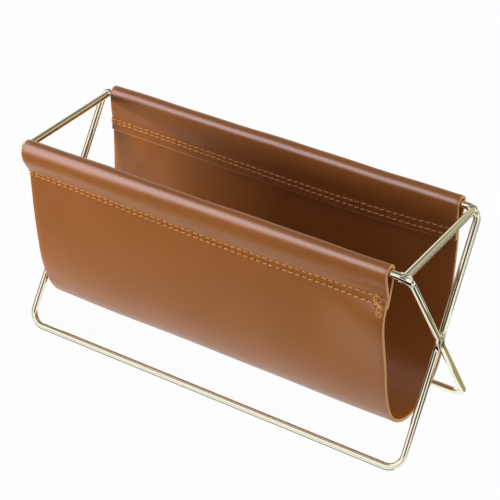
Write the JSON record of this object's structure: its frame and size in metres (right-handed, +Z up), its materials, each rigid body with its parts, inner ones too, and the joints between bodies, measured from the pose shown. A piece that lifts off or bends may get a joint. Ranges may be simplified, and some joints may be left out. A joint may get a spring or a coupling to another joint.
{
  "type": "mail sorter",
  "caption": "Desk mail sorter: a leather sling hung as an open trough between the upper rails of a waisted wire frame, with spreaders across its ends.",
  "frame": {"origin": "on the table, under the middle of the frame", "axes": "+X along the rails to the right, +Y from front to back, +Z up"},
  "size_m": [0.2578, 0.0892, 0.1307],
  "materials": {
    "wire": "polished plating",
    "leather": "smooth, waxed",
    "thread": "twisted thread"
  },
  "bodies": {
    "frame": {"front_loop": "wire", "back_loop": "wire", "left_spreader": "wire", "right_spreader": "wire", "front_left_spreader_weld": "wire", "back_left_spreader_weld": "wire", "front_right_spreader_weld": "wire", "back_right_spreader_weld": "wire", "left_waist_weld": "wire", "right_waist_weld": "wire"},
    "sling": {"sling": "leather", "front_upper_top_thread": "thread", "front_upper_bobbin_thread": "thread", "front_lower_top_thread": "thread", "front_lower_bobbin_thread": "thread", "back_upper_top_thread": "thread", "back_upper_bobbin_thread": "thread", "back_lower_top_thread": "thread", "back_lower_bobbin_thread": "thread"}
  },
  "joints": [
    {"name": "sling_slide", "type": "slide", "parent": "frame", "child": "sling", "axis": [1, 0, 0], "range_m": [-0.0002, 0.0037]}
  ]
}
